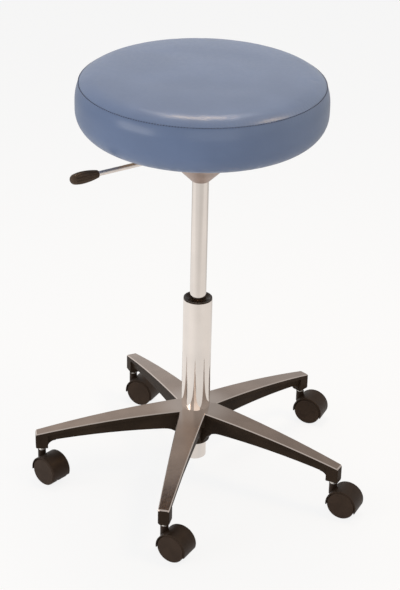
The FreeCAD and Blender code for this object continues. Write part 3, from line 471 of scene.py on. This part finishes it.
def moulded_plastic(name, tone, rough, edge=0.0008):
    """Spark-textured moulded plastic, paler at edges, partly from wear and partly as a painted highlight."""
    material, tree, shader = new_finish(name, {"Specular IOR Level": 0.2, "Specular Tint": WARM_SHEEN})
    place = object_place(tree)
    mottle = effect(tree, "Surface mottle", place=place, slow_scale=55.0, fine_scale=1700.0)
    wear_and_glint = effect(tree, "Edge rub", place=place, width=edge, patchiness=120.0)
    settled = effect(tree, "Settled dust", place=place, amount=0.02)
    base = mottled(tree, mottle, tone, 0.86, 1.14)
    # Partly wear, partly painted highlight: edges take a tone three times lighter, standing in for light
    # caught on them
    base = mix_colours(tree, product(tree, wear_and_glint["Edge"], 0.55), base, shade(tone, 3.0))
    textured = spread(tree, mottle["Fine"], 0.25, 0.75, rough, rough + 0.12)
    feed(tree, shader, Base_Color=mix_colours(tree, settled["Dust"], base, PLASTIC_DUST),
         Roughness=mix_values(tree, wear_and_glint["Edge"], textured, 0.6 * rough))
    sparks = product(tree, mottle["Fine"], 0.00005)
    feed(tree, shader, Normal=height_to_normal(tree, sparks, 0.6))
    return material


def soft_rubber(colours):
    """Dull rubber with dust on it."""
    material, tree, shader = new_finish("soft_rubber", {"Specular IOR Level": 0.3})
    place = object_place(tree)
    mottle = effect(tree, "Surface mottle", place=place, slow_scale=90.0, fine_scale=1400.0)
    settled = effect(tree, "Settled dust", place=place, amount=0.2)
    base = mottled(tree, mottle, colours.rubber, 0.8, 1.3)
    feed(tree, shader, Base_Color=mix_colours(tree, settled["Dust"], base, RUBBER_DUST),
         Roughness=spread(tree, mottle["Fine"], 0.2, 0.8, 0.7, 0.85))
    return material


def birch_plywood(colours):
    """Plies along the edge, long grain on the faces."""
    material, tree, shader = new_finish("birch_plywood", {"Specular IOR Level": 0.35})
    place = object_place(tree)
    mottle = effect(tree, "Surface mottle", place=place, slow_scale=9.0, fine_scale=800.0)
    grain = effect(tree, "Drawn lines", place=place, stretch=(0.06, 1.0, 1.0), scale=260.0)
    ply_turns = 2 * math.pi * PLY_PAIRS / (BOARD_HIGH.z - BOARD_LOW.z)
    layers = maths(tree, "SINE", product(tree, along_axes(tree, place)["Z"], ply_turns))
    face = spread(tree, maths(tree, "ABSOLUTE", facing_up(tree)), 0.4, 0.8)
    wood = mix_colours(tree, grain["Lines"], shade(colours.plywood, 0.78), shade(colours.plywood, 1.12))
    wood = mix_colours(tree, product(tree, mottle["Slow"], 0.35), wood, shade(colours.plywood, 0.7))
    edge = mix_colours(tree, spread(tree, layers, -0.25, 0.25), shade(colours.plywood, 0.45),
                       shade(colours.plywood, 1.0))
    feed(tree, shader, Base_Color=mix_colours(tree, face, edge, wood),
         Roughness=spread(tree, mottle["Fine"], 0.2, 0.8, 0.55, 0.7))
    furrows = product(tree, grain["Lines"], 0.00008)
    feed(tree, shader, Normal=height_to_normal(tree, furrows))
    return material


def dress(material, *nodes):
    """Gives CAD nodes a finish."""
    for name in nodes:
        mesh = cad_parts[name].data
        mesh.materials.clear()
        mesh.materials.append(material)


# Meshes

def new_piece(name, points, faces, material):
    mesh = bpy.data.meshes.new(name)
    mesh.from_pydata([tuple(point) for point in points], [], faces)
    mesh.validate()
    mesh.polygons.foreach_set("use_smooth", [True] * len(mesh.polygons))
    mesh.materials.append(material)
    piece = bpy.data.objects.new(name, mesh)
    bpy.context.scene.collection.objects.link(piece)
    return piece


def arc_points(start, end, radius, count):
    """Points on an arc that bulges up and outward, radius and height, both ends included."""
    start, end = np.array(start), np.array(end)
    chord = end - start
    span = np.linalg.norm(chord)
    inward = np.array([chord[1], -chord[0]]) / span
    centre = (start + end) / 2 + inward * math.sqrt(radius * radius - span * span / 4)
    first = math.atan2(*(start - centre)[::-1])
    last = math.atan2(*(end - centre)[::-1])
    turns = np.linspace(first, last, count)
    return centre + radius * np.stack([np.cos(turns), np.sin(turns)], axis=1)


def top_outline(seat, slack):
    """The top panel's outline, radius and height, from the crown to the seam."""
    seam = COVER_HIGH.x - seat.seam_inset
    shoulder = seam - seat.shoulder_width
    rise = seat.crown_rise
    crown_round = (rise * rise + shoulder * shoulder) / (2 * rise)
    crown = arc_points((0.0, COVER_HIGH.z), (shoulder, COVER_HIGH.z - rise), crown_round, CROWN_POINTS)
    edge = arc_points(crown[-1], (seam, COVER_LOW.z + seat.seam_height), seat.shoulder_round, SHOULDER_POINTS)
    outline = np.vstack([crown, edge[1:]])
    share = np.clip(1 - outline[:, 0] / shoulder, 0, 1)
    outline[:, 1] -= slack * np.sqrt(share)
    return outline


def side_outline(seat):
    """The side band's outline from the seam down to the hem's inner edge, points evenly apart."""
    wide, low, corner = COVER_HIGH.x, COVER_LOW.z, seat.corner_round
    seam = (wide - seat.seam_inset, low + seat.seam_height)
    widest = (wide, low + seat.widest_height)
    across, along = seat.seam_inset, seam[1] - widest[1]
    upper = arc_points(seam, widest, (across ** 2 + along ** 2) / (2 * across), BAND_POINTS)
    lower = arc_points((wide, low + corner), (wide - corner, low), corner, CORNER_POINTS)
    hem = (BOARD_HIGH.x - seat.hem_width, low)
    raw = np.vstack([upper, lower, [hem]])
    walked = np.concatenate([[0], np.cumsum(np.linalg.norm(np.diff(raw, axis=0), axis=1))])
    even = np.linspace(0, walked[-1], SIDE_POINTS)
    return np.stack([np.interp(even, walked, raw[:, axis]) for axis in (0, 1)], axis=1)


def ring_directions():
    """Where a ring's points lie round the axis, from the side of the patch's corner at -X -Y."""
    turns = math.radians(-135) + 2 * math.pi * np.arange(RING_POINTS) / RING_POINTS
    return np.stack([np.cos(turns), np.sin(turns)], axis=1)


def level_ring(radius, height):
    return np.column_stack([radius * ring_directions(), np.full(RING_POINTS, height)])


def patch_rim_places():
    """Grid places round the middle patch, counterclockwise from its corner at -X -Y."""
    last, steps = PATCH_CELLS, range(PATCH_CELLS)
    return ([(step, 0) for step in steps] + [(last, step) for step in steps]
            + [(last - step, last) for step in steps] + [(0, last - step) for step in steps])


def cushion_rings(seat, slack):
    """Middle patch of the top, the rings from it over the seam to the hem, and which ring is the seam."""
    outline = top_outline(seat, slack)
    seam_radius = outline[-1, 0]

    def on_top(spots):
        heights = np.interp(np.linalg.norm(spots, axis=-1), outline[:, 0], outline[:, 1])
        return np.concatenate([spots, heights[..., None]], axis=-1)

    u, v = np.meshgrid(*[np.linspace(-1, 1, PATCH_CELLS + 1)] * 2, indexing="ij")
    round_u, round_v = u * np.sqrt(1 - v * v / 2), v * np.sqrt(1 - u * u / 2)
    square, disc = np.stack([u, v], axis=-1), np.stack([round_u, round_v], axis=-1)
    flat = PATCH_REACH * seam_radius * (PATCH_SQUARE * square + PATCH_ROUND * disc)
    rim = np.array([flat[place] for place in patch_rim_places()])
    shares = np.linspace(0, 1, TOP_RINGS + 1)[1:]
    rings = [on_top((1 - share) * rim + share * seam_radius * ring_directions()) for share in shares]
    seam = len(rings) - 1
    rings += [level_ring(radius, height) for radius, height in side_outline(seat)[1:]]
    return on_top(flat), rings, seam


def board_pocket():
    """Rings of the pocket that the board lies in, from the hem's inner edge to the middle."""
    under, over, reach = BOARD_LOW.z - BOARD_GAP, BOARD_HIGH.z + BOARD_GAP, BOARD_HIGH.x + BOARD_GAP
    rows = [(reach, under), (reach, over), (reach / 2, over), (reach / 8, over)]
    return [level_ring(radius, height) for radius, height in rows]


def cushion_skin(patch, rings):
    """Points and faces of the closed skin: the patch, the rings, and the last ring's inside."""
    points = np.vstack([patch.reshape(-1, 3), *rings])
    side = PATCH_CELLS + 1
    faces = []
    for i in range(PATCH_CELLS):
        for j in range(PATCH_CELLS):
            corner = i * side + j
            faces.append((corner, corner + side, corner + side + 1, corner + 1))
    inner = [i * side + j for i, j in patch_rim_places()]
    first = side * side
    for index in range(len(rings)):
        outer = [first + index * RING_POINTS + step for step in range(RING_POINTS)]
        for step in range(RING_POINTS):
            after = (step + 1) % RING_POINTS
            faces.append((inner[step], outer[step], outer[after], inner[after]))
        inner = outer
    faces.append(tuple(inner))
    return points, faces


def padded_out(seat, points, faces, held):
    """The skin after cloth simulation: the foam swells the cover between the lines that hold it."""
    skin = new_piece("seat_cover_pattern", points, faces, None)
    group = skin.vertex_groups.new(name="held")
    group.add([int(index) for index in np.flatnonzero(held)], 1.0, "REPLACE")
    group.add([int(index) for index in np.flatnonzero(~held)], seat.firmness, "REPLACE")
    cloth = skin.modifiers.new("padding", "CLOTH")
    for name, value in CLOTH.items():
        setattr(cloth.settings, name, value)
    cloth.settings.vertex_group_mass = "held"
    cloth.settings.use_pressure = True
    cloth.settings.uniform_pressure_force = seat.pressure
    cloth.settings.effector_weights.gravity = 0
    cloth.collision_settings.use_collision = False
    cloth.point_cache.frame_start = 1
    cloth.point_cache.frame_end = SIMULATED_FRAMES
    scene = bpy.context.scene
    for number in range(1, SIMULATED_FRAMES + 1):
        scene.frame_set(number)
    shaped = skin.evaluated_get(bpy.context.evaluated_depsgraph_get()).to_mesh()
    found = np.empty(len(points) * 3, np.float32)
    shaped.vertices.foreach_get("co", found)
    moved = found.reshape(-1, 3) - points
    far = np.linalg.norm(moved, axis=1)
    bpy.data.meshes.remove(skin.data)
    scene.frame_set(1)
    keep = np.minimum(1.0, seat.swell_limit / np.maximum(far, 1e-9))
    return points + moved * keep[:, None]


def sewn_line(rings, seam, depth):
    """The rings with the seam drawn in as a narrow valley between two close rings on each side."""
    def toward(ring, distance):
        way = ring - rings[seam]
        return rings[seam] + way * (distance / np.linalg.norm(way, axis=1, keepdims=True))

    valley = rings[seam].copy()
    valley[:, :2] *= 1 - depth / np.linalg.norm(valley[:, :2], axis=1, keepdims=True)
    above = [toward(rings[seam - 1], distance) for distance in (SEAM_FAR, SEAM_NEAR)]
    below = [toward(rings[seam + 1], distance) for distance in (SEAM_NEAR, SEAM_FAR)]
    return rings[:seam] + above + [valley] + below + rings[seam + 1:]


def stitch_points(thread, half):
    """One stitch along X: a thread that rises out of the cover and dips back in, outward along Z."""
    steps = np.linspace(-1, 1, len(STITCH_TAPER))
    thick = thread * np.array(STITCH_TAPER)
    lift = thread * (STITCH_RISE - STITCH_DIP * steps ** 4)
    turns = 2 * math.pi * np.arange(STITCH_SIDES) / STITCH_SIDES
    return np.array([(half * step, size * math.cos(turn), rise + size * math.sin(turn))
                     for step, size, rise in zip(steps, thick, lift) for turn in turns])


def stitch_faces():
    """Faces of one stitch: its sides row by row, and its two ends."""
    sides, faces = range(STITCH_SIDES), []
    last = (len(STITCH_TAPER) - 1) * STITCH_SIDES
    for low in range(0, last, STITCH_SIDES):
        high = low + STITCH_SIDES
        for side in sides:
            after = (side + 1) % STITCH_SIDES
            faces.append((low + side, low + after, high + after, high + side))
    return faces + [tuple(reversed(sides)), tuple(last + side for side in sides)]


# Operators

class STOOL_OT_cushion(bpy.types.Operator):
    """Pads the seat: a sewn cover swelled by its foam, in place of the plain cushion"""
    bl_idname = "stool.cushion"
    bl_label = "Padded seat"

    def execute(self, context):
        seat, colours = context.scene.stool_seat, context.scene.stool_colours
        slack = seat.slack
        patch, rings, seam = cushion_rings(seat, slack)
        pocket = board_pocket()
        points, faces = cushion_skin(patch, rings + pocket)
        first = patch.shape[0] * patch.shape[1]
        held = points[:, 2] < COVER_LOW.z + HELD_HEIGHT
        held[first + seam * RING_POINTS:first + (seam + 1) * RING_POINTS] = True
        held[first + len(rings) * RING_POINTS:] = True
        points = padded_out(seat, points, faces, held)
        patch = points[:first].reshape(patch.shape)
        rings = list(points[first:].reshape(-1, RING_POINTS, 3)[:len(rings)])
        for ring in rings[-HEM_RINGS:]:
            inside = np.linalg.norm(ring[:, :2], axis=1) < BOARD_HIGH.x
            wave = 0.5 - 0.5 * np.cos(seat.staple_count * np.arctan2(ring[:, 1], ring[:, 0]))
            ring[:, 2] -= np.where(inside, seat.hem_sag * wave, 0.0)
        points, faces = cushion_skin(patch, sewn_line(rings, seam, seat.seam_depth) + pocket)
        cushion = new_piece("padded_seat", points, faces, blue_vinyl(colours, seat))
        finer = cushion.modifiers.new("finer", "SUBSURF")
        finer.levels = finer.render_levels = 1
        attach(cushion, "seat")
        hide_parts("seat_cover", "seat_foam")
        return {"FINISHED"}


class STOOL_OT_stitching(bpy.types.Operator):
    """Sews the row of stitches along the seat's seam"""
    bl_idname = "stool.stitching"
    bl_label = "Seam stitching"

    def execute(self, context):
        seat, colours = context.scene.stool_seat, context.scene.stool_colours
        radius = COVER_HIGH.x - seat.seam_inset - seat.seam_depth * STITCH_SINK
        height = COVER_LOW.z + seat.seam_height
        count = round(2 * math.pi * radius / seat.stitch_pitch)
        shape, sewn = stitch_points(seat.thread_radius, seat.stitch_length / 2), stitch_faces()
        points, faces = [], []
        for number in range(count):
            angle = 2 * math.pi * number / count
            out = Vector((math.cos(angle), math.sin(angle), 0))
            along = Vector((-out.y, out.x, 0))
            turn = np.array(Matrix((along, Vector((0, 0, 1)), out))).T
            first = len(points)
            points.extend(shape @ turn.T + np.array(out * radius + Vector((0, 0, height))))
            faces.extend(tuple(first + corner for corner in face) for face in sewn)
        stitches = new_piece("seam_stitching", points, faces, seam_thread(colours))
        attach(stitches, "seat")
        return {"FINISHED"}


class STOOL_OT_seat_underside(bpy.types.Operator):
    """Finishes the seat's board, its hub and the fasteners underneath"""
    bl_idname = "stool.seat_underside"
    bl_label = "Seat underside"

    def execute(self, context):
        colours = context.scene.stool_colours
        dress(birch_plywood(colours), "seat_board")
        dress(satin_metal("satin_hub", colours.hub, (1.0, 1.0, 6.0), 0.34), "seat_hub")
        dress(satin_metal("zinc_steel", colours.steel, (1.0, 1.0, 3.0), 0.30), "seat_screws", "tee_nuts",
              "cover_staples", "lever_pivot_pin", "release_pin")
        return {"FINISHED"}


class STOOL_OT_star_base(bpy.types.Operator):
    """Finishes the five-arm base"""
    bl_idname = "stool.star_base"
    bl_label = "Star base"

    def execute(self, context):
        dress(polished_casting(context.scene.stool_colours), "base_casting")
        return {"FINISHED"}


class STOOL_OT_column(bpy.types.Operator):
    """Finishes the column, the gas spring and the bearing inside"""
    bl_idname = "stool.column"
    bl_label = "Column and gas spring"

    def execute(self, context):
        colours = context.scene.stool_colours
        dress(bright_plate("column_chrome", colours.chrome, (1.0, 1.0, 0.03), 0.05), "column_tube",
              "pressure_tube", "piston_rod")
        dress(moulded_plastic("ring_plastic", colours.ring, 0.15), "column_bush")
        dress(satin_metal("bearing_steel", colours.steel, (1.0, 1.0, 4.0), 0.22), "column_end_plate",
              "thrust_race_lower", "thrust_race_upper", "thrust_balls", "gas_piston", "gas_rod_guide",
              "gas_valve_block", "rod_washer", "rod_clip")
        dress(satin_metal("cage_brass", colours.brass, (1.0, 1.0, 4.0), 0.28), "thrust_ball_cage")
        dress(soft_rubber(colours), "rod_bumper")
        return {"FINISHED"}


class STOOL_OT_lever(bpy.types.Operator):
    """Finishes the release lever and its grip"""
    bl_idname = "stool.lever"
    bl_label = "Release lever"

    def execute(self, context):
        colours = context.scene.stool_colours
        dress(bright_plate("lever_chrome", colours.chrome, (0.05, 0.05, 1.0), 0.38), "lever_rod")
        dress(moulded_plastic("grip_plastic", colours.grip, 0.36), "lever_grip")
        return {"FINISHED"}


class STOOL_OT_casters(bpy.types.Operator):
    """Finishes the five casters and their stems"""
    bl_idname = "stool.casters"
    bl_label = "Casters"

    def execute(self, context):
        colours = context.scene.stool_colours
        hood = moulded_plastic("hood_plastic", colours.hood, 0.40)
        # The wheels' wider edge mark also carries the painted highlight round their bevels
        wheel = moulded_plastic("wheel_plastic", colours.wheel, 0.46, edge=0.0012)
        stem = satin_metal("stem_steel", colours.stem, (1.0, 1.0, 4.0), 0.34)
        for number in CASTERS:
            dress(hood, f"caster_{number}_housing")
            dress(stem, f"caster_{number}_axle")
            dress(wheel, f"caster_{number}_near_wheel", f"caster_{number}_far_wheel")
        dress(stem, "caster_stems", "stem_grip_rings")
        return {"FINISHED"}


def seen_white(tree, to_camera, to_mirrors):
    """How white the surroundings look to the camera, and to the rays that mirrors and glass send on."""
    rays = add_node(tree, "LightPath").outputs
    mirrored = maths(tree, "MAXIMUM", rays["Is Glossy Ray"], rays["Is Transmission Ray"])
    return maths(tree, "MAXIMUM", product(tree, rays["Is Camera Ray"], to_camera),
                 product(tree, mirrored, to_mirrors))


def studio_world(stage):
    """White to the camera, greyer in mirrors to the right, above and behind, even light for the rest."""
    world = bpy.data.worlds.new("studio_world")
    world.use_nodes = True
    tree = world.node_tree
    tree.nodes.clear()
    toward = along_axes(tree, add_node(tree, "TexCoord").outputs["Generated"])
    mirrored = product(tree, spread(tree, toward["X"], -0.3, 0.15, 1.0, 0.75),
                       spread(tree, toward["Z"], 0.25, 0.75, 1.0, 0.8),
                       spread(tree, toward["Y"], 0.6, 0.95, 1.0, 0.84))
    strength = maths(tree, "MAXIMUM", seen_white(tree, 1.0, mirrored), stage.room_light)
    backdrop = add_node(tree, "Background", {"Color": WHITE, "Strength": strength})
    add_node(tree, "OutputWorld", {"Surface": backdrop.outputs[0]})
    return world


def floor_paint():
    """White to the camera apart from the shadow, whitest beside the stool in mirrors, clear from below."""
    material = bpy.data.materials.new("floor_paint")
    material.use_nodes = True
    tree = material.node_tree
    tree.nodes.clear()
    paint = add_node(tree, "BsdfDiffuse", {"Color": (0.82, 0.815, 0.81, 1.0)})
    spot = along_axes(tree, add_node(tree, "NewGeometry").outputs["Position"])
    white_card = product(tree, spread(tree, spot["Y"], -1.0, -0.4, 0.74, 1.0),
                         spread(tree, spot["Y"], 0.3, 0.8, 1.0, 0.66),
                         spread(tree, spot["X"], -0.3, 0.3, 1.0, 0.86))
    glow = add_node(tree, "Emission", {"Color": WHITE, "Strength": seen_white(tree, 1.0, white_card)})
    glow_share = seen_white(tree, 0.86, 0.72)
    lit = add_node(tree, "MixShader", {0: glow_share, 1: paint.outputs[0], 2: glow.outputs[0]})
    below = add_node(tree, "NewGeometry").outputs["Backfacing"]
    clear = add_node(tree, "BsdfTransparent")
    both = add_node(tree, "MixShader", {0: below, 1: lit.outputs[0], 2: clear.outputs[0]})
    add_node(tree, "OutputMaterial", {"Surface": both.outputs[0]})
    return material


def add_floor():
    turns = 2 * math.pi * np.arange(FLOOR_SIDES) / FLOOR_SIDES
    points = [(FLOOR_RADIUS * math.cos(turn), FLOOR_RADIUS * math.sin(turn), 0.0) for turn in turns]
    floor = new_piece("studio_floor", points, [tuple(range(FLOOR_SIDES))], floor_paint())


def add_softbox(name, place, aim, size, tone, energy):
    lamp = bpy.data.lights.new(name, "AREA")
    lamp.shape = "RECTANGLE"
    lamp.size, lamp.size_y = size
    lamp.energy = energy
    lamp.color = tone
    box = bpy.data.objects.new(name, lamp)
    bpy.context.scene.collection.objects.link(box)
    box.visible_camera = False
    box.location = place
    box.rotation_euler = (Vector(aim) - Vector(place)).to_track_quat("-Z", "Y").to_euler()


def add_camera(stage):
    heading, pitch, roll = stage.camera_turn, stage.camera_pitch, stage.camera_roll
    level_reach = math.cos(pitch)
    ahead = Vector((math.sin(heading) * level_reach, math.cos(heading) * level_reach, math.sin(pitch)))
    level = Vector((math.cos(heading), -math.sin(heading), 0))
    upright = level.cross(ahead)
    right = math.cos(roll) * level + math.sin(roll) * upright
    up = math.cos(roll) * upright - math.sin(roll) * level
    data = bpy.data.cameras.new("photo_camera")
    data.lens, data.sensor_width, data.sensor_fit = stage.camera_lens, SENSOR_WIDTH, "AUTO"
    camera = bpy.data.objects.new("photo_camera", data)
    bpy.context.scene.collection.objects.link(camera)
    turn = Matrix((right, up, -ahead)).transposed()
    camera.matrix_world = Matrix.Translation(stage.camera_place) @ turn.to_4x4()
    bpy.context.scene.camera = camera


class STOOL_OT_stage(bpy.types.Operator):
    """Sets up the pale floor, the soft light and the camera"""
    bl_idname = "stool.stage"
    bl_label = "Studio stage"

    def execute(self, context):
        stage = context.scene.stool_stage
        context.scene.view_settings.view_transform = "Standard"
        context.scene.world = studio_world(stage)
        add_floor()
        for name, (place, aim, size, tone) in SOFTBOXES.items():
            add_softbox(f"{name}_softbox", place, aim, size, tone, getattr(stage, f"{name}_power"))
        add_camera(stage)
        return {"FINISHED"}


class STOOL_PT_panel(bpy.types.Panel):
    """Lists the stool's sizes, colours and steps"""
    bl_idname = "STOOL_PT_panel"
    bl_label = "Medical exam stool"
    bl_space_type = "VIEW_3D"
    bl_region_type = "UI"
    bl_category = "Stool"

    def draw(self, context):
        for settings in (context.scene.stool_seat, context.scene.stool_colours, context.scene.stool_stage):
            box = self.layout.box()
            for name in settings.__annotations__:
                box.prop(settings, name)
        for step in STEPS:
            self.layout.operator(step.bl_idname)


SETTINGS = {"stool_seat": StoolSeatSizes, "stool_colours": StoolColours, "stool_stage": StoolStage}
STEPS = [STOOL_OT_cushion, STOOL_OT_stitching, STOOL_OT_seat_underside, STOOL_OT_star_base, STOOL_OT_column,
         STOOL_OT_lever, STOOL_OT_casters, STOOL_OT_stage]


def register():
    for kind in [*SETTINGS.values(), *STEPS, STOOL_PT_panel]:
        bpy.utils.register_class(kind)
    for name, kind in SETTINGS.items():
        setattr(bpy.types.Scene, name, PointerProperty(type=kind))


def unregister():
    for name in SETTINGS:
        delattr(bpy.types.Scene, name)
    for kind in [STOOL_PT_panel, *reversed(STEPS), *SETTINGS.values()]:
        bpy.utils.unregister_class(kind)


def main():
    register()
    bpy.ops.stool.cushion()
    bpy.ops.stool.stitching()
    bpy.ops.stool.seat_underside()
    bpy.ops.stool.star_base()
    bpy.ops.stool.column()
    bpy.ops.stool.lever()
    bpy.ops.stool.casters()
    bpy.ops.stool.stage()


if __name__ == "__main__":
    main()
